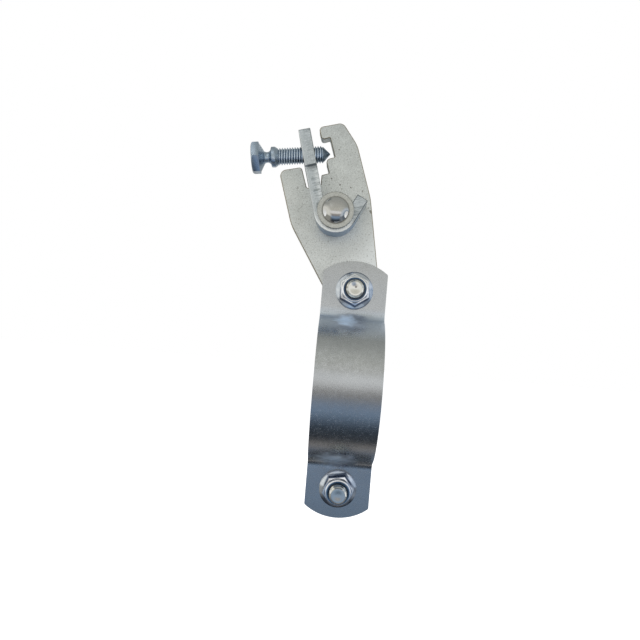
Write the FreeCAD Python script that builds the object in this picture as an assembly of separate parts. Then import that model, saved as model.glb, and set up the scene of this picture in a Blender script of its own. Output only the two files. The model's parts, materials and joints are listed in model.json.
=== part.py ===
import FreeCAD, Part
import math
import os

from FreeCAD import Placement, Rotation, Vector

# Lateral brace clamp for a 76.3 mm pipe, in millimetres.
# The pipe's axis is X, through the origin. The clamp bolts run along Y, one above and one
# below the pipe, and the nuts face -Y. The jaw plate lies in the XZ plane and leans to -X.

# Pipe and clamp band
PIPE_DIAMETER = 76.3
BAND_WIDTH = 37.4
BAND_THICKNESS = 4.0
BEND_RADIUS = 5.0
BOLT_SPACING = 115.0
EAR_REACH = 17.1
EAR_END_RADIUS = 30.0
EAR_CORNER_RADIUS = 1.6
EAR_HOLE_CLEARANCE = 0.5
LOWER_EAR_GAP = 6.0

# Clamp bolts and lock nuts
BOLT_DIAMETER = 10.0
BOLT_LENGTH = 35.0
BOLT_END_CHAMFER = 1.0
BOLT_CUP_RADIUS = 2.9
BOLT_CUP_DEPTH = 0.5
BOLT_HEAD_HEIGHT = 9.0
WRENCH_SIZE = 16.0
FLANGE_DIAMETER = 21.6
FLANGE_EDGE = 1.4
FLANGE_RISE = 2.4
NUT_HEX_HEIGHT = 9.8
NUT_HEIGHT = 13.5
NUT_COLLAR_DIAMETER = 14.8
NUT_LIP_RADIUS = 1.0
INSERT_DIAMETER = 13.0
INSERT_HEIGHT = 2.4
INSERT_RECESS = 0.4
THREAD_CLEARANCE = 0.05
UPPER_NUT_TURN = -5.5
LOWER_NUT_TURN = 21.0
HEX_CHAMFER_ANGLE = 30.0
HEX_FACE_SHARE = 0.97
FLANGE_TOP_SHARE = 0.9

# Jaw plate, measured from the upper clamp bolt: U across the plate, W along it
PLATE_THICKNESS = 9.0
PLATE_LEAN = 18.7
PLATE_SIDE_CLEARANCE = 0.1
PLATE_END_RADIUS = 14.8
PIVOT_W = 45.2
PLATE_LEFT_U = -26.5
PLATE_RIGHT_U = 22.5
LEFT_TAPER_OVER_PIVOT = 1.7
LEFT_TAPER_RADIUS = 25.0
RIGHT_TAPER_OVER_PIVOT = 5.1
RIGHT_TAPER_RADIUS = 30.0
FINGER_TOP_W = 79.1
FINGER_TOP_DROP = 1.2
FINGER_LEFT_U = -25.7
FINGER_OUTER_RADIUS = 3.8
FINGER_INNER_RADIUS = 1.8
SLOT_LEFT_U = -12.3
SLOT_WIDTH = 8.9
SLOT_CORNER_RADIUS = 1.0
SLOT_LEAD_WIDTH = 1.3
SLOT_LEAD_HEIGHT = 3.4
SLOT_UNDER_STEP = 5.4
STEP_UNDER_NOTCH = 8.3
STEP_CORNER_RADIUS = 0.7
TOOTH_U = 2.4
TOOTH_RADIUS = 2.5
NOTCH_UNDER_FINGER = 0.2
NOTCH_HEIGHT = 11.6
NOTCH_WALL_U = 8.0
NOTCH_CORNER_RADIUS = 0.6
HOOK_LEFT_U = 3.0
HOOK_LOWER_RADIUS = 1.8
HOOK_UPPER_RADIUS = 2.4
HOOK_DEPTH = 7.6
HOOK_TOP_DROP = 0.8
HOOK_SHOULDER_U = 17.5
HOOK_SHOULDER_RADIUS = 4.0
HOOK_SLOPE_DROP = 15.6
HOOK_SLOPE_RADIUS = 20.0

# Pivot rivet and its washers
RIVET_DIAMETER = 10.0
RIVET_HEAD_DIAMETER = 14.5
RIVET_HEAD_EDGE = 0.7
RIVET_HEAD_HEIGHT = 4.2
RIVET_FIT = 0.05
PIVOT_FIT = 0.08
WASHER_DIAMETER = 20.8
WASHER_THICKNESS = 2.0
WASHER_CLEARANCE = 0.25
WASHER_EDGE_CHAMFER = 0.3
SIDE_PLAY = 0.15

# Swing arm, measured from the rivet: B across the bar, A along it
ARM_TILT = 3.2
ARM_THICKNESS = 6.7
ARM_HEAD_WIDTH = 48.0
ARM_LEG_WIDTH = 43.0
ARM_TOP_OVER_BOLT = 8.9
ARM_SHOULDER_UNDER_BOLT = 11.7
ARM_CROTCH_OVER_SLOT = 2.4
HEAD_CORNER_RADIUS = 1.5
FORK_CLEARANCE = 0.3
CURL_CLEARANCE = 0.5
TAIL_ANGLE = 47.0
TAIL_REACH = 14.5
SET_BOLT_OVER_FINGER = 5.2
SET_BOLT_DIP = 7.8

# Set bolt, measured back from its point
SET_BOLT_DIAMETER = 9.9
SET_BOLT_FIT = 0.08
POINT_REACH = 12.8
POINT_LENGTH = 4.5
POINT_FLAT_RADIUS = 0.3
THREAD_LENGTH = 26.3
COLLAR_DIAMETER = 11.9
COLLAR_LENGTH = 2.3
COLLAR_CHAMFER = 1.6
COLLAR_EDGE = 0.4
NECK_DIAMETER = 6.1
NECK_LENGTH = 4.0
HEAD_CONE_START_DIAMETER = 7.3
HEAD_CONE_LENGTH = 2.8
SET_HEAD_HEIGHT = 4.6
SET_WRENCH_SIZE = 17.0
SET_HEAD_TURN = 34.7

# Places that follow from the sizes above
BORE_RADIUS = PIPE_DIAMETER / 2
BOLT_HALF = BOLT_SPACING / 2
BOLT_RADIUS = BOLT_DIAMETER / 2
UPPER_EAR_OFFSET = PLATE_THICKNESS / 2 + PLATE_SIDE_CLEARANCE
LOWER_EAR_OFFSET = LOWER_EAR_GAP / 2
RIVET_RADIUS = RIVET_DIAMETER / 2
CURL_INNER_RADIUS = RIVET_RADIUS + CURL_CLEARANCE
CURL_OUTER_RADIUS = CURL_INNER_RADIUS + ARM_THICKNESS
ARM_MIDDLE_B = -(CURL_INNER_RADIUS + CURL_OUTER_RADIUS) / 2
WASHER_INNER_Y = ARM_LEG_WIDTH / 2 + SIDE_PLAY
WASHER_OUTER_Y = WASHER_INNER_Y + WASHER_THICKNESS
LEFT_TAPER_W = PIVOT_W + LEFT_TAPER_OVER_PIVOT
RIGHT_TAPER_W = PIVOT_W + RIGHT_TAPER_OVER_PIVOT
NOTCH_FLOOR_W = FINGER_TOP_W - NOTCH_UNDER_FINGER
HOOK_UNDERSIDE_W = NOTCH_FLOOR_W + NOTCH_HEIGHT
HOOK_TOP_W = HOOK_UNDERSIDE_W + HOOK_DEPTH
HOOK_SLOPE_END_W = HOOK_TOP_W - HOOK_SLOPE_DROP
STEP_FLOOR_W = NOTCH_FLOOR_W - STEP_UNDER_NOTCH
SLOT_BOTTOM_W = STEP_FLOOR_W - SLOT_UNDER_STEP
TAPPED_HOLE_A = FINGER_TOP_W - PIVOT_W + SET_BOLT_OVER_FINGER
ARM_TOP_A = TAPPED_HOLE_A + ARM_TOP_OVER_BOLT
ARM_SHOULDER_A = TAPPED_HOLE_A - ARM_SHOULDER_UNDER_BOLT
ARM_CROTCH_A = SLOT_BOTTOM_W - PIVOT_W + ARM_CROTCH_OVER_SLOT

Y_AXIS = Vector(0, 1, 0)
X_AXIS = Vector(1, 0, 0)
ORIGIN = Vector(0, 0, 0)

PLATE_FRAME = Placement(Vector(0, 0, BOLT_HALF), Rotation(Y_AXIS, -PLATE_LEAN))
ARM_FRAME = PLATE_FRAME.multiply(Placement(Vector(0, 0, PIVOT_W), Rotation(Y_AXIS, ARM_TILT)))
SET_BOLT_FRAME = ARM_FRAME.multiply(
    Placement(Vector(ARM_MIDDLE_B, 0, TAPPED_HOLE_A), Rotation(Y_AXIS, SET_BOLT_DIP))
)


def placed(shape, frame):
    """The shape moved from its own frame into the object's frame."""
    moved = shape.copy()
    moved.Placement = frame.multiply(moved.Placement)
    return moved


def rounded_wire(corners, y):
    """A closed outline in the XZ plane at y. Each corner is (x, z, radius)."""
    count = len(corners)
    arcs = []
    for index, (x, z, radius) in enumerate(corners):
        corner = Vector(x, y, z)
        before = corners[index - 1]
        after = corners[(index + 1) % count]
        to_before = (Vector(before[0], y, before[1]) - corner).normalize()
        to_after = (Vector(after[0], y, after[1]) - corner).normalize()
        half_angle = to_before.getAngle(to_after) / 2
        inward = (to_before + to_after).normalize()
        cut = radius / math.tan(half_angle)
        middle = corner + inward * (radius / math.sin(half_angle) - radius)
        arcs.append((corner + to_before * cut, middle, corner + to_after * cut))
    edges = []
    for index, (start, middle, end) in enumerate(arcs):
        edges.append(Part.Arc(start, middle, end).toShape())
        following = arcs[(index + 1) % count][0]
        edges.append(Part.LineSegment(end, following).toShape())
    return Part.Wire(edges)


def slab(wire, width):
    """An XZ outline drawn at y = -width / 2, made into a slab of that width."""
    return Part.Face(wire).extrude(Vector(0, width, 0))


def revolved(points, axis):
    """A closed profile of straight lines turned round an axis through the origin."""
    return Part.Face(Part.makePolygon(points + [points[0]])).revolve(ORIGIN, axis, 360)


def hexagon(wrench_size, length, turn):
    """A hexagonal prism along +X from the origin, a vertex up before it is turned."""
    radius = wrench_size / math.sqrt(3)
    points = []
    for step in range(7):
        angle = math.radians(60 * step + turn)
        points.append(Vector(0, radius * math.sin(angle), radius * math.cos(angle)))
    return Part.Face(Part.makePolygon(points)).extrude(Vector(length, 0, 0))


def chamfer_cone(wrench_size, length):
    """The turned envelope that rounds off a hexagon's corners at its +X end."""
    corner = wrench_size / math.sqrt(3)
    flat = wrench_size / 2 * HEX_FACE_SHARE
    drop = (corner - flat) * math.tan(math.radians(HEX_CHAMFER_ANGLE))
    return revolved(
        [
            Vector(0, 0, 0),
            Vector(length, 0, 0),
            Vector(length, flat, 0),
            Vector(length - drop, corner, 0),
            Vector(0, corner, 0),
        ],
        X_AXIS,
    )


def facing_front(y, z):
    """A frame whose own +X points to -Y, at the given place on the YZ plane."""
    return Placement(Vector(0, y, z), Rotation(Vector(0, 0, 1), -90))


def bend_axis(ear_offset):
    """Centre (depth, height) of the fold between an ear and the round of the band."""
    depth = ear_offset + BAND_THICKNESS + BEND_RADIUS
    reach = BORE_RADIUS + BAND_THICKNESS + BEND_RADIUS
    return depth, math.sqrt(reach ** 2 - depth ** 2)


def band_side(ear_offset, radius, fold_radius, ear_depth):
    """Ear foot, fold middle and tangent point for one face of the band, upper half."""
    depth, height = bend_axis(ear_offset)
    reach = math.hypot(depth, height)
    foot = (ear_depth, height)
    touch = (depth * radius / reach, height * radius / reach)
    blend = (-1 - depth / reach, -height / reach)
    size = math.hypot(blend[0], blend[1])
    middle = (depth + fold_radius * blend[0] / size, height + fold_radius * blend[1] / size)
    return foot, middle, touch


def clamp_half(side):
    """One folded band. side is -1 for the front half and +1 for the rear half."""

    def at(depth, height):
        return Vector(-BAND_WIDTH / 2, side * depth, height)

    def mirrored(points):
        return [(depth, -height) for depth, height in points]

    end = BOLT_HALF + EAR_REACH
    inner_fold = BEND_RADIUS + BAND_THICKNESS
    outer_radius = BORE_RADIUS + BAND_THICKNESS
    upper_out = UPPER_EAR_OFFSET + BAND_THICKNESS
    lower_out = LOWER_EAR_OFFSET + BAND_THICKNESS
    upper_in = band_side(UPPER_EAR_OFFSET, BORE_RADIUS, inner_fold, UPPER_EAR_OFFSET)
    lower_in = mirrored(band_side(LOWER_EAR_OFFSET, BORE_RADIUS, inner_fold, LOWER_EAR_OFFSET))
    upper_face = band_side(UPPER_EAR_OFFSET, outer_radius, BEND_RADIUS, upper_out)
    lower_face = mirrored(band_side(LOWER_EAR_OFFSET, outer_radius, BEND_RADIUS, lower_out))

    def line(first, second):
        return Part.LineSegment(at(*first), at(*second)).toShape()

    def arc(first, middle, last):
        return Part.Arc(at(*first), at(*middle), at(*last)).toShape()

    edges = [
        line((UPPER_EAR_OFFSET, end), upper_in[0]),
        arc(*upper_in),
        arc(upper_in[2], (BORE_RADIUS, 0), lower_in[2]),
        arc(lower_in[2], lower_in[1], lower_in[0]),
        line(lower_in[0], (LOWER_EAR_OFFSET, -end)),
        line((LOWER_EAR_OFFSET, -end), (lower_out, -end)),
        line((lower_out, -end), lower_face[0]),
        arc(*lower_face),
        arc(lower_face[2], (outer_radius, 0), upper_face[2]),
        arc(upper_face[2], upper_face[1], upper_face[0]),
        line(upper_face[0], (upper_out, end)),
        line((upper_out, end), (UPPER_EAR_OFFSET, end)),
    ]
    band = Part.Face(Part.Wire(edges)).extrude(Vector(BAND_WIDTH, 0, 0))
    band = band.common(ear_outline(end))
    hole_radius = BOLT_RADIUS + EAR_HOLE_CLEARANCE
    depth = 2 * (BORE_RADIUS + BAND_THICKNESS)
    for height in (BOLT_HALF, -BOLT_HALF):
        band = band.cut(Part.makeCylinder(hole_radius, depth, Vector(0, -depth / 2, height), Y_AXIS))
    return band


def ear_outline(end):
    """A prism along Y with the band's width and its two round ends."""
    half = BAND_WIDTH / 2
    depth = 2 * (BORE_RADIUS + BAND_THICKNESS + BEND_RADIUS)
    corner = end - EAR_END_RADIUS + math.sqrt(EAR_END_RADIUS ** 2 - half ** 2)

    def at(x, z):
        return Vector(x, -depth / 2, z)

    edges = [
        Part.Arc(at(-half, corner), at(0, end), at(half, corner)).toShape(),
        Part.LineSegment(at(half, corner), at(half, -corner)).toShape(),
        Part.Arc(at(half, -corner), at(0, -end), at(-half, -corner)).toShape(),
        Part.LineSegment(at(-half, -corner), at(-half, corner)).toShape(),
    ]
    prism = Part.Face(Part.Wire(edges)).extrude(Vector(0, depth, 0))
    sharp = []
    for edge in prism.Edges:
        box = edge.BoundBox
        if box.XLength < 0.001 and box.ZLength < 0.001:
            sharp.append(edge)
    return prism.makeFillet(EAR_CORNER_RADIUS, sharp)


def flange_and_hex(hex_height, turn):
    """A hexagon on a conical flange, seated on the YZ plane and rising along +X."""
    corner = WRENCH_SIZE / math.sqrt(3)
    hexed = hexagon(WRENCH_SIZE, hex_height, turn).common(chamfer_cone(WRENCH_SIZE, hex_height))
    flange_radius = FLANGE_DIAMETER / 2
    flange = revolved(
        [
            Vector(0, 0, 0),
            Vector(0, flange_radius, 0),
            Vector(FLANGE_EDGE, flange_radius, 0),
            Vector(FLANGE_EDGE + FLANGE_RISE, corner * FLANGE_TOP_SHARE, 0),
            Vector(FLANGE_EDGE + FLANGE_RISE, 0, 0),
        ],
        X_AXIS,
    )
    return hexed.fuse(flange)


def lock_nut(turn):
    """Flange nut with a turned collar over its insert, along +X from its seat."""
    collar_radius = NUT_COLLAR_DIAMETER / 2
    collar = Part.makeCylinder(collar_radius, NUT_HEIGHT, ORIGIN, X_AXIS)
    rims = []
    for edge in collar.Edges:
        if edge.BoundBox.XMin > NUT_HEIGHT - 0.001:
            rims.append(edge)
    collar = collar.makeFillet(NUT_LIP_RADIUS, rims)
    nut = flange_and_hex(NUT_HEX_HEIGHT, turn).fuse(collar)
    bore = Part.makeCylinder(BOLT_RADIUS + THREAD_CLEARANCE, NUT_HEIGHT, ORIGIN, X_AXIS)
    seat = NUT_HEIGHT - INSERT_RECESS - INSERT_HEIGHT
    pocket = Part.makeCylinder(INSERT_DIAMETER / 2, NUT_HEIGHT, Vector(seat, 0, 0), X_AXIS)
    return nut.cut(bore).cut(pocket).removeSplitter()


def nut_insert():
    """The nylon ring that lies in the lock nut's pocket."""
    seat = NUT_HEIGHT - INSERT_RECESS - INSERT_HEIGHT
    ring = Part.makeCylinder(INSERT_DIAMETER / 2, INSERT_HEIGHT, Vector(seat, 0, 0), X_AXIS)
    bore = Part.makeCylinder(BOLT_RADIUS + THREAD_CLEARANCE, NUT_HEIGHT, ORIGIN, X_AXIS)
    return ring.cut(bore)


def clamp_bolt(turn):
    """Flange bolt along +X from under its head, with a shallow cup in its end."""
    end_radius = BOLT_RADIUS - BOLT_END_CHAMFER
    shank = revolved(
        [
            Vector(0, 0, 0),
            Vector(0, BOLT_RADIUS, 0),
            Vector(BOLT_LENGTH - BOLT_END_CHAMFER, BOLT_RADIUS, 0),
            Vector(BOLT_LENGTH, end_radius, 0),
            Vector(BOLT_LENGTH, BOLT_CUP_RADIUS, 0),
            Vector(BOLT_LENGTH - BOLT_CUP_DEPTH, 0, 0),
        ],
        X_AXIS,
    )
    head = flange_and_hex(BOLT_HEAD_HEIGHT, turn)
    head.rotate(ORIGIN, Vector(0, 0, 1), 180)
    return shank.fuse(head).removeSplitter()


def tangent_corner(radius, left, right):
    """Where the tangents to a circle round the origin cross, from two outer points."""

    def line_normal(point, sign):
        distance = math.hypot(point[0], point[1])
        angle = math.atan2(point[1], point[0]) + sign * math.acos(radius / distance)
        return math.cos(angle), math.sin(angle)

    first = line_normal(left, 1)
    second = line_normal(right, -1)
    spread = first[0] * second[1] - first[1] * second[0]
    x = radius * (second[1] - first[1]) / spread
    z = radius * (first[0] - second[0]) / spread
    return x, z


def jaw_plate():
    """The cut plate: hook, two steps, slot, finger and a round end on the bolt."""
    slot_right = SLOT_LEFT_U + SLOT_WIDTH
    lead_u = slot_right + SLOT_LEAD_WIDTH
    left_taper = (PLATE_LEFT_U, LEFT_TAPER_W)
    right_taper = (PLATE_RIGHT_U, RIGHT_TAPER_W)
    end_u, end_w = tangent_corner(PLATE_END_RADIUS, left_taper, right_taper)
    corners = [
        (HOOK_LEFT_U, HOOK_UNDERSIDE_W, HOOK_LOWER_RADIUS),
        (HOOK_LEFT_U, HOOK_TOP_W, HOOK_UPPER_RADIUS),
        (HOOK_SHOULDER_U, HOOK_TOP_W - HOOK_TOP_DROP, HOOK_SHOULDER_RADIUS),
        (PLATE_RIGHT_U, HOOK_SLOPE_END_W, HOOK_SLOPE_RADIUS),
        (PLATE_RIGHT_U, RIGHT_TAPER_W, RIGHT_TAPER_RADIUS),
        (end_u, end_w, PLATE_END_RADIUS),
        (PLATE_LEFT_U, LEFT_TAPER_W, LEFT_TAPER_RADIUS),
        (FINGER_LEFT_U, FINGER_TOP_W, FINGER_OUTER_RADIUS),
        (SLOT_LEFT_U, FINGER_TOP_W - FINGER_TOP_DROP, FINGER_INNER_RADIUS),
        (SLOT_LEFT_U, SLOT_BOTTOM_W, SLOT_CORNER_RADIUS),
        (slot_right, SLOT_BOTTOM_W, SLOT_CORNER_RADIUS),
        (slot_right, STEP_FLOOR_W - SLOT_LEAD_HEIGHT, STEP_CORNER_RADIUS),
        (lead_u, STEP_FLOOR_W, STEP_CORNER_RADIUS),
        (TOOTH_U, STEP_FLOOR_W, NOTCH_CORNER_RADIUS),
        (TOOTH_U, NOTCH_FLOOR_W, TOOTH_RADIUS),
        (NOTCH_WALL_U, NOTCH_FLOOR_W, NOTCH_CORNER_RADIUS),
        (NOTCH_WALL_U, HOOK_UNDERSIDE_W, NOTCH_CORNER_RADIUS),
    ]
    plate = slab(rounded_wire(corners, -PLATE_THICKNESS / 2), PLATE_THICKNESS)
    start = Vector(0, -PLATE_THICKNESS, 0)
    bolt_hole = Part.makeCylinder(BOLT_RADIUS + PIVOT_FIT, 2 * PLATE_THICKNESS, start, Y_AXIS)
    start = Vector(0, -PLATE_THICKNESS, PIVOT_W)
    rivet_hole = Part.makeCylinder(RIVET_RADIUS + RIVET_FIT, 2 * PLATE_THICKNESS, start, Y_AXIS)
    return plate.cut(bolt_hole).cut(rivet_hole)


def arm_profile(top):
    """The J of the bar seen edge-on: leg, curl round the rivet, and tail."""
    inner = CURL_INNER_RADIUS
    outer = CURL_OUTER_RADIUS
    y = -ARM_LEG_WIDTH / 2
    leave = math.radians(TAIL_ANGLE - 90)
    bottom = (math.radians(-180) + leave) / 2
    along = Vector(math.cos(math.radians(TAIL_ANGLE)), 0, math.sin(math.radians(TAIL_ANGLE)))

    def on(radius, angle):
        return Vector(radius * math.cos(angle), y, radius * math.sin(angle))

    inner_end = on(inner, leave)
    outer_end = on(outer, leave)
    inner_tail = inner_end + along * TAIL_REACH
    outer_tail = outer_end + along * TAIL_REACH
    edges = [
        Part.LineSegment(Vector(-inner, y, top), Vector(-inner, y, 0)).toShape(),
        Part.Arc(Vector(-inner, y, 0), on(inner, bottom), inner_end).toShape(),
        Part.LineSegment(inner_end, inner_tail).toShape(),
        Part.LineSegment(inner_tail, outer_tail).toShape(),
        Part.LineSegment(outer_tail, outer_end).toShape(),
        Part.Arc(outer_end, on(outer, bottom), Vector(-outer, y, 0)).toShape(),
        Part.LineSegment(Vector(-outer, y, 0), Vector(-outer, y, top)).toShape(),
        Part.LineSegment(Vector(-outer, y, top), Vector(-inner, y, top)).toShape(),
    ]
    return Part.Wire(edges)


def swing_arm():
    """The forked bar with its wide head and tapped hole, in the arm's own frame."""
    legs = slab(arm_profile(ARM_SHOULDER_A), ARM_LEG_WIDTH)
    fork_width = PLATE_THICKNESS + 2 * FORK_CLEARANCE
    reach = CURL_OUTER_RADIUS + TAIL_REACH + ARM_THICKNESS
    fork = Part.makeBox(
        2 * reach,
        fork_width,
        reach + ARM_CROTCH_A,
        Vector(-reach, -fork_width / 2, -reach),
    )
    head = Part.makeBox(
        ARM_THICKNESS,
        ARM_HEAD_WIDTH,
        ARM_TOP_A - ARM_SHOULDER_A,
        Vector(-CURL_OUTER_RADIUS, -ARM_HEAD_WIDTH / 2, ARM_SHOULDER_A),
    )
    top_corners = []
    for edge in head.Edges:
        box = edge.BoundBox
        if box.ZMin > ARM_TOP_A - 0.001 and box.XLength > ARM_THICKNESS / 2:
            top_corners.append(edge)
    head = head.makeFillet(HEAD_CORNER_RADIUS, top_corners)
    arm = legs.fuse(head).cut(fork)
    hole = Part.makeCylinder(
        SET_BOLT_DIAMETER / 2 + SET_BOLT_FIT,
        4 * ARM_THICKNESS,
        Vector(-2 * ARM_THICKNESS, 0, 0),
        X_AXIS,
    )
    hole_frame = Placement(Vector(ARM_MIDDLE_B, 0, TAPPED_HOLE_A), Rotation(Y_AXIS, SET_BOLT_DIP))
    return arm.cut(placed(hole, hole_frame)).removeSplitter()


def pivot_rivet():
    """Pin through both curls and the plate, with a domed head formed at each end."""
    head_radius = RIVET_HEAD_DIAMETER / 2
    seat = WASHER_OUTER_Y
    edge = seat + RIVET_HEAD_EDGE
    crown = seat + RIVET_HEAD_HEIGHT
    rise = RIVET_HEAD_HEIGHT - RIVET_HEAD_EDGE
    dome_radius = (head_radius ** 2 + rise ** 2) / (2 * rise)
    half_angle = math.asin(head_radius / dome_radius) / 2
    shoulder_x = dome_radius * math.sin(half_angle)
    shoulder_y = crown - dome_radius * (1 - math.cos(half_angle))

    def half(sign):
        return [
            Part.LineSegment(Vector(RIVET_RADIUS, 0, 0), Vector(RIVET_RADIUS, sign * seat, 0)),
            Part.LineSegment(
                Vector(RIVET_RADIUS, sign * seat, 0), Vector(head_radius, sign * seat, 0)
            ),
            Part.LineSegment(
                Vector(head_radius, sign * seat, 0), Vector(head_radius, sign * edge, 0)
            ),
            Part.Arc(
                Vector(head_radius, sign * edge, 0),
                Vector(shoulder_x, sign * shoulder_y, 0),
                Vector(0, sign * crown, 0),
            ),
            Part.LineSegment(Vector(0, sign * crown, 0), ORIGIN),
            Part.LineSegment(ORIGIN, Vector(RIVET_RADIUS, 0, 0)),
        ]

    solids = []
    for sign in (-1, 1):
        wire = Part.Wire([curve.toShape() for curve in half(sign)])
        solids.append(Part.Face(wire).revolve(ORIGIN, Y_AXIS, 360))
    return solids[0].fuse(solids[1]).removeSplitter()


def pivot_washer(side):
    """Plain washer between a curl's rim and the rivet's head."""
    start = WASHER_INNER_Y if side > 0 else -WASHER_OUTER_Y
    disc = Part.makeCylinder(WASHER_DIAMETER / 2, WASHER_THICKNESS, Vector(0, start, 0), Y_AXIS)
    rims = []
    for edge in disc.Edges:
        if edge.BoundBox.YLength < 0.001:
            rims.append(edge)
    disc = disc.makeChamfer(WASHER_EDGE_CHAMFER, rims)
    bore = RIVET_RADIUS + WASHER_CLEARANCE
    return disc.cut(Part.makeCylinder(bore, WASHER_THICKNESS, Vector(0, start, 0), Y_AXIS))


def set_bolt():
    """Break-off set bolt along X, its cone point towards +X, in its own frame."""
    radius = SET_BOLT_DIAMETER / 2
    collar_radius = COLLAR_DIAMETER / 2
    tip = POINT_REACH
    cone_base = tip - POINT_LENGTH
    thread_end = cone_base - THREAD_LENGTH
    collar_front = thread_end - COLLAR_CHAMFER
    collar_back = collar_front - COLLAR_LENGTH
    neck_middle = collar_back - NECK_LENGTH / 2
    cone_start = collar_back - NECK_LENGTH
    head_seat = cone_start - HEAD_CONE_LENGTH
    head_radius = SET_WRENCH_SIZE / 2

    def at(x, r):
        return Vector(x, r, 0)

    corners = [
        at(tip, 0),
        at(tip, POINT_FLAT_RADIUS),
        at(cone_base, radius),
        at(thread_end, radius),
        at(collar_front, collar_radius),
        at(collar_back + COLLAR_EDGE, collar_radius),
        at(collar_back, collar_radius - COLLAR_EDGE),
    ]
    edges = []
    for first, second in zip(corners, corners[1:]):
        edges.append(Part.LineSegment(first, second).toShape())
    neck_end = at(cone_start, HEAD_CONE_START_DIAMETER / 2)
    groove = Part.Arc(corners[-1], at(neck_middle, NECK_DIAMETER / 2), neck_end)
    edges.append(groove.toShape())
    edges.append(Part.LineSegment(neck_end, at(head_seat, head_radius)).toShape())
    edges.append(Part.LineSegment(at(head_seat, head_radius), at(head_seat, 0)).toShape())
    edges.append(Part.LineSegment(at(head_seat, 0), at(tip, 0)).toShape())
    turned = Part.Face(Part.Wire(edges)).revolve(ORIGIN, X_AXIS, 360)
    head = hexagon(SET_WRENCH_SIZE, SET_HEAD_HEIGHT, SET_HEAD_TURN)
    head = head.common(chamfer_cone(SET_WRENCH_SIZE, SET_HEAD_HEIGHT))
    head.rotate(ORIGIN, Vector(0, 0, 1), 180)
    head.translate(Vector(head_seat, 0, 0))
    return turned.fuse(head).removeSplitter()


def hardware(height, ear_offset, turn):
    """Bolt, nut and insert at one ear, seated on its outer faces."""
    seat = ear_offset + BAND_THICKNESS
    nut_frame = facing_front(-seat, height)
    bolt_frame = facing_front(seat, height)
    return (
        placed(clamp_bolt(turn), bolt_frame),
        placed(lock_nut(turn), nut_frame),
        placed(nut_insert(), nut_frame),
    )


def rivet_frame():
    """The rivet and its washers stand on the plate's own frame."""
    return PLATE_FRAME.multiply(Placement(Vector(0, 0, PIVOT_W), Rotation()))


def build():
    """Every piece by its name."""
    upper = hardware(BOLT_HALF, UPPER_EAR_OFFSET, UPPER_NUT_TURN)
    lower = hardware(-BOLT_HALF, LOWER_EAR_OFFSET, LOWER_NUT_TURN)
    return {
        "front_clamp_half": clamp_half(-1),
        "rear_clamp_half": clamp_half(1),
        "upper_clamp_bolt": upper[0],
        "upper_lock_nut": upper[1],
        "upper_nut_insert": upper[2],
        "lower_clamp_bolt": lower[0],
        "lower_lock_nut": lower[1],
        "lower_nut_insert": lower[2],
        "jaw_plate": placed(jaw_plate(), PLATE_FRAME),
        "pivot_rivet": placed(pivot_rivet(), rivet_frame()),
        "front_pivot_washer": placed(pivot_washer(-1), rivet_frame()),
        "rear_pivot_washer": placed(pivot_washer(1), rivet_frame()),
        "swing_arm": placed(swing_arm(), ARM_FRAME),
        "set_bolt": placed(set_bolt(), SET_BOLT_FRAME),
    }


os.makedirs("parts", exist_ok=True)
for name, shape in build().items():
    shape.exportStep("parts/" + name + ".step")
    print(name, "solids", len(shape.Solids), "valid", shape.isValid(), "volume", round(shape.Volume, 1))
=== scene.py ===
import json
import math

import bmesh
import bpy
from mathutils import Matrix, Vector


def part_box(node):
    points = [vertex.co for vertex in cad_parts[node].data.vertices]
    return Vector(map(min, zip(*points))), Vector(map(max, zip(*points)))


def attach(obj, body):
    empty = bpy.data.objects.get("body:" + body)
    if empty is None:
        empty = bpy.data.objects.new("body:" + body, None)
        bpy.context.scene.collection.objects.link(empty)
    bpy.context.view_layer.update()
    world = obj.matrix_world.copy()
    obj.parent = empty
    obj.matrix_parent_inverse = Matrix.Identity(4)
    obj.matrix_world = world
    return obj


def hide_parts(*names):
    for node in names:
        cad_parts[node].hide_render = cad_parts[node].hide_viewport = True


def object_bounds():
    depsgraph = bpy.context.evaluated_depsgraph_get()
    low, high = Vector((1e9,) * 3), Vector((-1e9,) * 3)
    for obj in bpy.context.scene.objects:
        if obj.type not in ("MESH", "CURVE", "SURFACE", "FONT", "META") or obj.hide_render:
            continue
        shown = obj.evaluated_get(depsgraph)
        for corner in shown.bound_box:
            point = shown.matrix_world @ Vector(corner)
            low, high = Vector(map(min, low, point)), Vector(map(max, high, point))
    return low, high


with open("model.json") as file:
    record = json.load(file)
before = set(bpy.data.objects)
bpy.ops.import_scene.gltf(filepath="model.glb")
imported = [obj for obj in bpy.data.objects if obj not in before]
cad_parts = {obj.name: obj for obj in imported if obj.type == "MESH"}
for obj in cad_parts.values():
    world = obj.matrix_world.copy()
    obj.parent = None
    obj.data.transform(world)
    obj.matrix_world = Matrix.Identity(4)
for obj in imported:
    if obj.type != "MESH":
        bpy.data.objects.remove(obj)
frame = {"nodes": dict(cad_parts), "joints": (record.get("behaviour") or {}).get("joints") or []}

cad_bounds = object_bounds()
nodes = frame["nodes"]

# Lengths are metres. MM turns a size in millimetres into metres. In the finishes, a pair of lengths
# is mostly a stretch over which a mark sets in or fades out. A share is how strongly it shows.
MM = 0.001

# Joint places from the record
joints = {joint["name"]: joint for joint in frame["joints"]}
PIVOT = Vector(joints["arm_swing"]["pos_m"])
CLAMP_BOLT_AXIS_Z = joints["jaw_swing"]["pos_m"][2]
SCREW_AXIS = Vector(joints["set_bolt_travel"]["axis"]).normalized()
SCREW_POINT = Vector(joints["set_bolt_travel"]["pos_m"])
SCREW_LEAN = math.atan2(SCREW_AXIS.z, SCREW_AXIS.x)

# The plate leans along the line from the upper bolt to the pivot, and the arm a little less
PLATE_LEAN = math.atan2(-PIVOT.x, PIVOT.z - CLAMP_BOLT_AXIS_Z)
ARM_BEHIND_PLATE = math.radians(3.2)
ARM_LEAN = PLATE_LEAN - ARM_BEHIND_PLATE

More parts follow.
